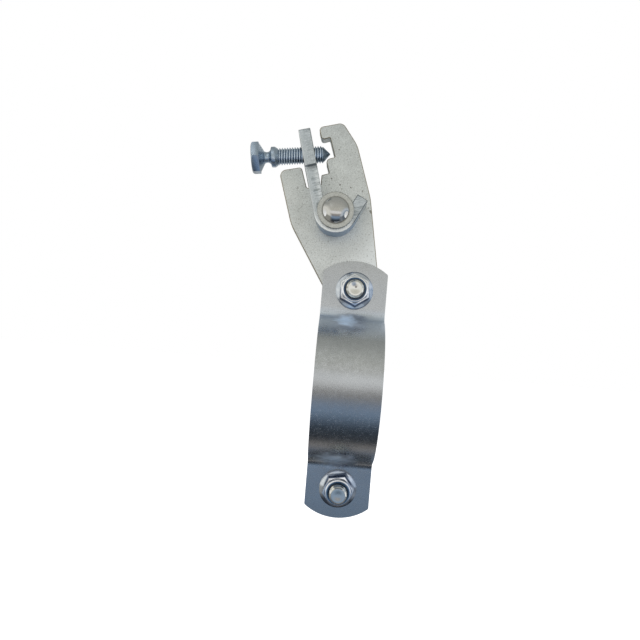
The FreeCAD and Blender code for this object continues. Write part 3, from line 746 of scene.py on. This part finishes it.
def band_finish():
    """Rolled strip: fine grain that breaks up reflections, and a painted highlight on its folds."""
    look = Finish("band_zinc")
    x, _, level = look.axes(look.place)
    above = look.rises(level, *LOWER_TO_UPPER)

    def by_fold(pair):
        return look.ramp(above, 0.0, 1.0, *pair)

    color = look.mottled(BAND_DULL, BAND_BRIGHT, speck=0.5 * MM, cloud=12.0 * MM, share=0.7)
    color = look.over(color, BAND_DOT_TONE, look.dirt(0.8 * MM, 0.63, 0.72), share=0.4)
    fold_highlight = painted_fold_highlight(look, by_fold, x, look.unsigned(level))
    # Painted highlight on the folds
    color = look.over(color, BAND_FOLD_HIGHLIGHT_TONE, fold_highlight, share=0.85)
    scratches = band_scratches(look, level)
    color = look.over(color, BAND_SCRATCH_TONE, scratches, share=0.7)
    roughness = look.gloss(0.2, 0.3, size=2.5 * MM)
    roughness = look.plus(roughness, look.times(look.plus(scratches, fold_highlight), 0.2))
    waves = look.noise(7.0 * MM, detail=2.0, rough=0.5)
    normal = look.bump(waves, strength=0.05, depth=0.3 * MM, below=look.grain(0.85, size=0.46 * MM))
    # The painted highlight is less metallic, so it stays pale
    metallic = look.less(1.0, look.times(fold_highlight, by_fold(HIGHLIGHT_MATTE_SHARE)))
    return look.finish(color, roughness, normal, metallic)


def linked(name, data):
    """A new object that holds this data, in the scene."""
    thing = bpy.data.objects.new(name, data)
    bpy.context.scene.collection.objects.link(thing)
    return thing


def paint(node, material, edge=None):
    """Every slot of a CAD node's mesh takes the material. The last slot is for its rounded edges."""
    mesh = nodes[node].data
    if not mesh.materials:
        mesh.materials.append(material)
    for index in range(len(mesh.materials)):
        mesh.materials[index] = material
    mesh.materials.append(edge or material)


def smooth(mesh):
    """Smooth shading on every face."""
    for face in mesh.polygons:
        face.use_smooth = True


def soften(node, width, segments=2, flatten=False):
    """Rounds a CAD node's sharp edges with modifiers and smooths its curved faces.

    With flatten, flat faces are merged first, so that short edges don't hold the rounding back."""
    thing = nodes[node]
    mesh = thing.data
    for name in IMPORTED_SHADING:
        if name in mesh.attributes:
            mesh.attributes.remove(mesh.attributes[name])
    smooth(mesh)
    weld = thing.modifiers.new("weld", "WELD")
    weld.merge_threshold = WELD_REACH
    if flatten:
        flats = thing.modifiers.new("flats", "DECIMATE")
        flats.decimate_type = "DISSOLVE"
        flats.angle_limit = FLAT_ANGLE
    bevel = thing.modifiers.new("edges", "BEVEL")
    bevel.loop_slide = False
    bevel.use_clamp_overlap = not flatten
    bevel.width = width
    bevel.segments = segments
    bevel.limit_method = "ANGLE"
    bevel.angle_limit = SHARP_ANGLE
    bevel.harden_normals = True
    bevel.miter_outer = "MITER_ARC"
    bevel.material = len(mesh.materials) - 1


def thread_rows(start, end):
    """Places along a bolt, in pitches, where a turn's profile changes direction, and rows a turn."""
    back_up = [(1.0 - place, height) for place, height in THREAD_TURN[2:0:-1]]
    shape = [*THREAD_TURN, *back_up]
    # Spare turns before and after, which the ends of the rod cut off
    first = math.floor(start / THREAD_PITCH) - 2
    last = math.ceil(end / THREAD_PITCH) + 1
    rows = []
    for turn in range(first, last):
        for place, height in shape:
            rows.append((turn + place, height))
    return rows, len(shape)


def thread(start, end, radius, envelope, end_profile):
    """A threaded rod along +X. envelope(x) caps the radius; end_profile closes the far end."""
    rows, per_turn = thread_rows(start, end)
    bm = bmesh.new()
    grid = []
    for column in range(THREAD_COLUMNS):
        share = column / THREAD_COLUMNS
        angle = 2 * math.pi * share
        line = []
        for place, height in rows:
            x = min(max((place + share) * THREAD_PITCH, start), end)
            depth = THREAD_DEPTH * (1.0 - height)
            if x == start or x == end:
                depth = THREAD_DEPTH
            out = min(radius - depth, envelope(x))
            line.append(bm.verts.new((x, out * math.sin(angle), out * math.cos(angle))))
        grid.append(line)
    count = len(rows)
    for column in range(THREAD_COLUMNS):
        following = (column + 1) % THREAD_COLUMNS
        shift = per_turn if following == 0 else 0
        here, there = grid[column], grid[following]
        for row in range(count - 1 - shift):
            bm.faces.new((here[row], here[row + 1], there[row + 1 + shift], there[row + shift]))
    bmesh.ops.remove_doubles(bm, verts=bm.verts, dist=WELD_REACH)
    close_end(bm, start, [(start, 0.0)])
    close_end(bm, end, end_profile)
    bmesh.ops.dissolve_degenerate(bm, edges=bm.edges, dist=CUT_REACH)
    bmesh.ops.recalc_face_normals(bm, faces=bm.faces)
    return bm


def close_end(bm, x, profile):
    """Closes the open ring at x with rings along profile, the last of them a single point."""
    rim = [edge for edge in bm.edges if edge.is_boundary and abs(edge.verts[0].co.x - x) < RIM_REACH]
    for place, radius in profile[:-1]:
        made = bmesh.ops.extrude_edge_only(bm, edges=rim)["geom"]
        for vert in [item for item in made if isinstance(item, bmesh.types.BMVert)]:
            share = radius / math.hypot(vert.co.y, vert.co.z)
            vert.co = (place, vert.co.y * share, vert.co.z * share)
        rim = [item for item in made if isinstance(item, bmesh.types.BMEdge) and item.is_boundary]
    tip = bm.verts.new((profile[-1][0], 0.0, 0.0))
    for edge in rim:
        bm.faces.new((edge.verts[0], edge.verts[1], tip))


def axis_frame(axis, origin):
    """A matrix that takes a bolt built along +X to its place."""
    turn = Vector((1, 0, 0)).rotation_difference(axis).to_matrix().to_4x4()
    return Matrix.Translation(origin) @ turn


def kept_head(node, place, end):
    """A CAD node's solid in the bolt's own frame, kept as far as end along the bolt."""
    bm = bmesh.new()
    bm.from_mesh(nodes[node].data)
    bmesh.ops.transform(bm, matrix=place.inverted(), verts=bm.verts)
    bmesh.ops.remove_doubles(bm, verts=bm.verts, dist=WELD_REACH)
    cut = bmesh.ops.bisect_plane(
        bm,
        geom=list(bm.verts) + list(bm.edges) + list(bm.faces),
        dist=CUT_REACH,
        plane_co=(end, 0, 0),
        plane_no=(1, 0, 0),
        clear_outer=True,
    )
    rim = [item for item in cut["geom_cut"] if isinstance(item, bmesh.types.BMEdge)]
    bmesh.ops.holes_fill(bm, edges=rim, sides=0)
    bmesh.ops.dissolve_limit(bm, angle_limit=FLAT_ANGLE, verts=bm.verts, edges=bm.edges)
    bmesh.ops.recalc_face_normals(bm, faces=bm.faces)
    return bm


def mark_edges(bm, first):
    """Gives a bevel weight to the sharp edges that lie beyond x = first."""
    weight = bm.edges.layers.float.new("bevel_weight_edge")
    for edge in bm.edges:
        sharp = edge.is_manifold and edge.calc_face_angle(0.0) > SHARP_ANGLE
        if sharp and min(vert.co.x for vert in edge.verts) > first:
            edge[weight] = 1.0


def joined(name, head, rod, place, material, width):
    """One piece made of a head and a threaded rod, each a closed shell, both rounded at their edges."""
    mark_edges(head, -math.inf)
    mark_edges(rod, max(vert.co.x for vert in rod.verts) - RIM_REACH)
    whole = bmesh.new()
    for bm in (head, rod):
        part = bpy.data.meshes.new("part")
        bm.to_mesh(part)
        bm.free()
        whole.from_mesh(part)
        bpy.data.meshes.remove(part)
    bmesh.ops.transform(whole, matrix=place, verts=whole.verts)
    mesh = bpy.data.meshes.new(name)
    whole.to_mesh(mesh)
    whole.free()
    mesh.materials.append(material)
    smooth(mesh)
    thing = linked(name, mesh)
    bevel = thing.modifiers.new("edges", "BEVEL")
    bevel.width = width
    bevel.segments = 2
    bevel.limit_method = "WEIGHT"
    bevel.harden_normals = True
    return thing


def set_bolt_piece():
    """The set bolt: its CAD head, neck and collar, with a cut thread down to the point."""
    place = axis_frame(SCREW_AXIS, SCREW_POINT)
    back = place.inverted()
    tip = max((back @ vert.co).x for vert in nodes["set_bolt"].data.vertices)
    cone = tip - SET_POINT_LENGTH
    start = cone - SET_THREAD_LENGTH

    def envelope(x):
        share = max(0.0, (x - cone) / SET_POINT_LENGTH)
        return SET_BOLT_RADIUS + (SET_POINT_FLAT - SET_BOLT_RADIUS) * share

    rod = thread(start - THREAD_OVERLAP, tip, SET_BOLT_RADIUS, envelope, [(tip, 0.0)])
    head = kept_head("set_bolt", place, start)
    piece = joined("set_bolt_threaded", head, rod, place, set_bolt_finish(), SET_BOLT_EDGE)
    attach(piece, "screw")
    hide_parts("set_bolt")


def clamp_bolt_piece(node, height):
    """A clamp bolt: its CAD flange head, with a cut thread out to the cupped end."""
    low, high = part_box(node)
    place = axis_frame(Vector((0, -1, 0)), Vector((0, 0, height)))
    end = -low.y
    start = -high.y + CLAMP_THREAD_START
    chamfer_start = end - CLAMP_END_CHAMFER

    def envelope(x):
        return CLAMP_BOLT_RADIUS - max(0.0, x - chamfer_start)

    cup = [(end - depth, radius) for depth, radius in CLAMP_CUP]
    rod = thread(start - THREAD_OVERLAP, end, CLAMP_BOLT_RADIUS, envelope, cup)
    head = kept_head(node, place, start)
    piece = joined(node + "_threaded", head, rod, place, clamp_bolt_finish(node, height), SMALL_EDGE)
    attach(piece, "clamp")
    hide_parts(node)


def dress_nodes():
    """Finishes and rounded edges for the CAD nodes that stay."""
    band_zinc = band_finish()
    band_edge = plated("band_edge", BAND_EDGE_BRIGHT, BAND_EDGE_DULL, rough=0.4)
    for node in ("front_clamp_half", "rear_clamp_half"):
        paint(node, band_zinc, band_edge)
        soften(node, BAND_EDGE, segments=3)
    plate_edge = plated("plate_edge", PLATE_EDGE_BRIGHT, PLATE_EDGE_DULL, rough=0.5)
    paint("jaw_plate", jaw_finish(), plate_edge)
    soften("jaw_plate", PLATE_EDGE, flatten=True)
    # The arm's edges take a darker copy of its finish, as painted shade
    arm_edge = arm_finish("arm_edge", ARM_EDGE_SHADE_BRIGHT, ARM_EDGE_SHADE_DULL, tear_bump=0.1, edge=True)
    paint("swing_arm", arm_finish("arm_zinc", ARM_BRIGHT, ARM_DULL, tear_bump=0.6), arm_edge)
    soften("swing_arm", ARM_EDGE, segments=3, flatten=True)
    for node, turn, shade_and_highlight_share in NUTS:
        face = nut_finish(node, node + "_zinc", NUT_FACE_TONES, turn, shade_and_highlight_share, rough=0.12)
        # The nut's edges take a brighter copy of its finish, as a painted highlight
        edge = nut_finish(node, node + "_edge", NUT_EDGE_HIGHLIGHT_TONES, turn, shade_and_highlight_share, rough=0.16)
        paint(node, face, edge)
        soften(node, HARDWARE_EDGE)
    nylon = nylon_finish()
    for node in ("upper_nut_insert", "lower_nut_insert"):
        paint(node, nylon)
        soften(node, SMALL_EDGE)
    washer_steel = washer_finish()
    washer_edge = plated("washer_edge", *WASHER_EDGE_TONES, rough=0.4)
    for node in ("front_pivot_washer", "rear_pivot_washer"):
        paint(node, washer_steel, washer_edge)
        soften(node, SMALL_EDGE, flatten=True)
    paint("pivot_rivet", plated("polished_rivet", *RIVET_TONES, rough=0.06, grain=0.02))
    soften("pivot_rivet", SMALL_EDGE)


# Studio: the floor, the world's light and the lamps as (name, place, size, power)
FLOOR_DROP = 100.0 * MM
FLOOR_REACH = 6.0
FLOOR_TONE = (0.9, 0.9, 0.9, 1.0)
FLOOR_SEEN_TONE = (0.6, 0.6, 0.6, 1.0)
FLOOR_GLOW = 0.72
WORLD_TONE = (0.93, 0.96, 1.0, 1.0)
WORLD_LIGHT = 0.6
WHITE = (1.0, 1.0, 1.0, 1.0)
LAMPS = (
    ("key", (-0.55, -0.75, 0.75), (0.6, 0.6), 5.0),
    ("fill", (0.7, -0.6, 0.25), (0.5, 0.7), 3.0),
    ("back", (0.2, 0.9, 0.7), (0.8, 0.5), 6.0),
)

# The curved card: its middle as (y, z), and (height angle in degrees, linear colour) from overhead
# round the front to underneath and up the back
COVE_MIDDLE = (-42.0 * MM, 0.0)
COVE_RADIUS = 165.0 * MM
COVE_TONES = (
    (130, (0.4, 0.41, 0.4)),
    (100, (0.42, 0.43, 0.41)),
    (75, (0.54, 0.54, 0.5)),
    (50, (0.64, 0.63, 0.57)),
    (34, (0.68, 0.66, 0.61)),
    (26, (1.0, 0.99, 0.98)),
    (12, (0.98, 0.96, 0.94)),
    (6, (0.78, 0.76, 0.74)),
    (0, (0.42, 0.4, 0.38)),
    (-13, (0.36, 0.345, 0.345)),
    (-20, (0.3, 0.36, 0.46)),
    (-34, (0.29, 0.39, 0.54)),
    (-44, (0.22, 0.3, 0.41)),
    (-56, (0.1, 0.135, 0.19)),
    (-66, (0.05, 0.065, 0.085)),
    (-90, (0.045, 0.05, 0.06)),
    (-98, (0.34, 0.31, 0.29)),
    (-106, (0.33, 0.31, 0.31)),
    (-114, (0.15, 0.18, 0.23)),
    (-150, (0.15, 0.19, 0.25)),
    (-172, (0.2, 0.23, 0.27)),
    (-185, (0.6, 0.61, 0.61)),
    (-215, (0.66, 0.66, 0.65)),
    (-230, (0.4, 0.41, 0.4)),
)

# Across the card: (x, the side's colour, its share). Below a height angle the side is dimmer.
LEFT_TONE = (0.95, 0.94, 0.88)
RIGHT_TONE = (0.66, 0.72, 0.8)
FAR_TONE = (0.42, 0.49, 0.58)
COVE_SIDES = (
    (-0.5, LEFT_TONE, 1.0),
    (-0.19, LEFT_TONE, 1.0),
    (-0.1, LEFT_TONE, 0.0),
    (0.1, RIGHT_TONE, 0.0),
    (0.18, RIGHT_TONE, 1.0),
    (0.24, RIGHT_TONE, 1.0),
    (0.28, FAR_TONE, 1.0),
    (0.5, FAR_TONE, 1.0),
)
SIDE_LOW_START = -30
SIDE_LOW_SHARE = 0.4

# Small cards for the rivet's dome: (place, size, linear colour)
RIVET_DOME = PIVOT + Vector((0.0, -28.0 * MM, 0.0))
SMALL_CARDS = (
    ((0.105, -0.235, 0.14), (0.05, 0.12), (2.2, 2.2, 2.2)),
    ((0.04, -0.27, 0.12), (0.03, 0.05), (1.7, 1.7, 1.7)),
    ((-0.06, 0.2, 0.09), (0.2, 0.15), (0.24, 0.27, 0.28)),
)


def emptied(owner):
    """The node tree of a material or world, with no nodes in it."""
    owner.use_nodes = True
    owner.node_tree.nodes.clear()
    return owner.node_tree


def shader(tree, kind, color=None, strength=None):
    """A shader node with its colour and strength."""
    node = tree.nodes.new(kind)
    if color is not None:
        node.inputs["Color"].default_value = color
    if strength is not None:
        node.inputs["Strength"].default_value = strength
    return node


def show(tree, surface, kind="ShaderNodeOutputMaterial"):
    """Ends the tree with this surface."""
    tree.links.new(surface, tree.nodes.new(kind).inputs["Surface"])


def reflected_only(thing):
    """Makes a glowing card part of the stage, seen by nothing but reflections."""
    thing.visible_camera = False
    thing.visible_diffuse = False
    thing.visible_shadow = False
    thing.visible_transmission = False


def cove():
    """A curved studio card along X in front of the band."""
    bm = bmesh.new()
    layer = bm.verts.layers.float_color.new("glow")
    lines = []
    for degrees, color in COVE_TONES:
        angle = math.radians(degrees)
        dim = SIDE_LOW_SHARE if degrees < SIDE_LOW_START else 1.0
        y = COVE_MIDDLE[0] - COVE_RADIUS * math.cos(angle)
        z = COVE_MIDDLE[1] + COVE_RADIUS * math.sin(angle)
        line = []
        for x, side, share in COVE_SIDES:
            vert = bm.verts.new((x, y, z))
            glow = [own * (1.0 - share) + other * dim * share for own, other in zip(color, side)]
            vert[layer] = (*glow, 1.0)
            line.append(vert)
        lines.append(line)
    for first, second in zip(lines, lines[1:]):
        for here, there, over, back in zip(first, first[1:], second[1:], second):
            bm.faces.new((here, there, over, back))
    mesh = bpy.data.meshes.new("cove")
    bm.to_mesh(mesh)
    bm.free()
    material = bpy.data.materials.new("cove")
    tree = emptied(material)
    color = tree.nodes.new("ShaderNodeVertexColor")
    color.layer_name = "glow"
    glow = shader(tree, "ShaderNodeEmission")
    tree.links.new(color.outputs["Color"], glow.inputs["Color"])
    show(tree, glow.outputs[0])
    mesh.materials.append(material)
    reflected_only(linked("cove", mesh))


def small_card(place, size, color):
    """A flat card facing the rivet."""
    half_wide, half_high = size[0] / 2, size[1] / 2
    turn = (RIVET_DOME - Vector(place)).to_track_quat("Z", "Y")
    points = []
    for across, up in ((-1, -1), (1, -1), (1, 1), (-1, 1)):
        points.append(Vector(place) + turn @ Vector((across * half_wide, up * half_high, 0.0)))
    mesh = bpy.data.meshes.new("small_card")
    mesh.from_pydata(points, [], [(0, 1, 2, 3)])
    material = bpy.data.materials.new("small_card")
    tree = emptied(material)
    show(tree, shader(tree, "ShaderNodeEmission", (*color, 1.0)).outputs[0])
    mesh.materials.append(material)
    reflected_only(linked("small_card", mesh))


def lamp(name, place, aim, size, power):
    """A soft rectangular lamp at place, shining at aim."""
    data = bpy.data.lights.new(name, "AREA")
    data.shape = "RECTANGLE"
    data.size, data.size_y = size
    data.energy = power
    thing = linked(name, data)
    thing.location = place
    thing.rotation_euler = (aim - Vector(place)).to_track_quat("-Z", "Y").to_euler()


def white_behind(tree, lit, white):
    """Camera, glass and mirror rays see white where they would see lit otherwise."""
    rays = tree.nodes.new("ShaderNodeLightPath")
    seen = rays.outputs["Is Camera Ray"]
    for kind in ("Is Transmission Ray", "Is Glossy Ray"):
        either = tree.nodes.new("ShaderNodeMath")
        either.operation = "MAXIMUM"
        tree.links.new(seen, either.inputs[0])
        tree.links.new(rays.outputs[kind], either.inputs[1])
        seen = either.outputs[0]
    mix = tree.nodes.new("ShaderNodeMixShader")
    tree.links.new(seen, mix.inputs[0])
    tree.links.new(lit.outputs[0], mix.inputs[1])
    tree.links.new(white.outputs[0], mix.inputs[2])
    return mix.outputs[0]


def pale_floor(lowest):
    """A wide floor well under the part, nearly white to the camera, that still takes a shadow."""
    bm = bmesh.new()
    bmesh.ops.create_grid(bm, x_segments=1, y_segments=1, size=FLOOR_REACH)
    mesh = bpy.data.meshes.new("floor")
    bm.to_mesh(mesh)
    bm.free()
    material = bpy.data.materials.new("pale_floor")
    tree = emptied(material)
    seen = tree.nodes.new("ShaderNodeAddShader")
    tree.links.new(shader(tree, "ShaderNodeBsdfDiffuse", FLOOR_SEEN_TONE).outputs[0], seen.inputs[0])
    tree.links.new(shader(tree, "ShaderNodeEmission", WHITE, FLOOR_GLOW).outputs[0], seen.inputs[1])
    show(tree, white_behind(tree, shader(tree, "ShaderNodeBsdfDiffuse", FLOOR_TONE), seen))
    mesh.materials.append(material)
    floor = linked("floor", mesh)
    floor.location = (0, 0, lowest - FLOOR_DROP)


def studio():
    """Pale floor, white surroundings, soft lamps and a few cards for the metal to show."""
    low, high = cad_bounds
    pale_floor(low.z)
    world = bpy.data.worlds.new("studio")
    bpy.context.scene.world = world
    tree = emptied(world)
    around = shader(tree, "ShaderNodeBackground", WORLD_TONE, WORLD_LIGHT)
    white = shader(tree, "ShaderNodeBackground", WHITE, 1.0)
    show(tree, white_behind(tree, around, white), "ShaderNodeOutputWorld")
    for name, place, size, power in LAMPS:
        lamp(name, place, (low + high) / 2, size, power)
    cove()
    for place, size, color in SMALL_CARDS:
        small_card(place, size, color)


def camera():
    """The camera at the photograph's viewing angle."""
    data = bpy.data.cameras.new("camera")
    data.sensor_width = SENSOR_WIDTH
    data.lens = FOCAL_LENGTH
    half = PHOTO_SIZE / 2
    data.shift_x = (half - AIM_PIXEL[0]) / PHOTO_SIZE
    data.shift_y = (AIM_PIXEL[1] - half) / PHOTO_SIZE
    data.clip_start, data.clip_end = CAMERA_CLIP
    thing = linked("camera", data)
    cosine, sine = math.cos(CAMERA_ROLL), math.sin(CAMERA_ROLL)
    turn = Matrix(((cosine, -sine, 0), (0, 0, -1), (sine, cosine, 0)))
    place = CAMERA_AIM + Vector((0, -CAMERA_DISTANCE, 0))
    thing.matrix_world = Matrix.Translation(place) @ turn.to_4x4()
    bpy.context.scene.camera = thing


dress_nodes()
set_bolt_piece()
clamp_bolt_piece("upper_clamp_bolt", CLAMP_BOLT_AXIS_Z)
clamp_bolt_piece("lower_clamp_bolt", -CLAMP_BOLT_AXIS_Z)
studio()
camera()
bpy.context.scene.view_settings.view_transform = "Standard"
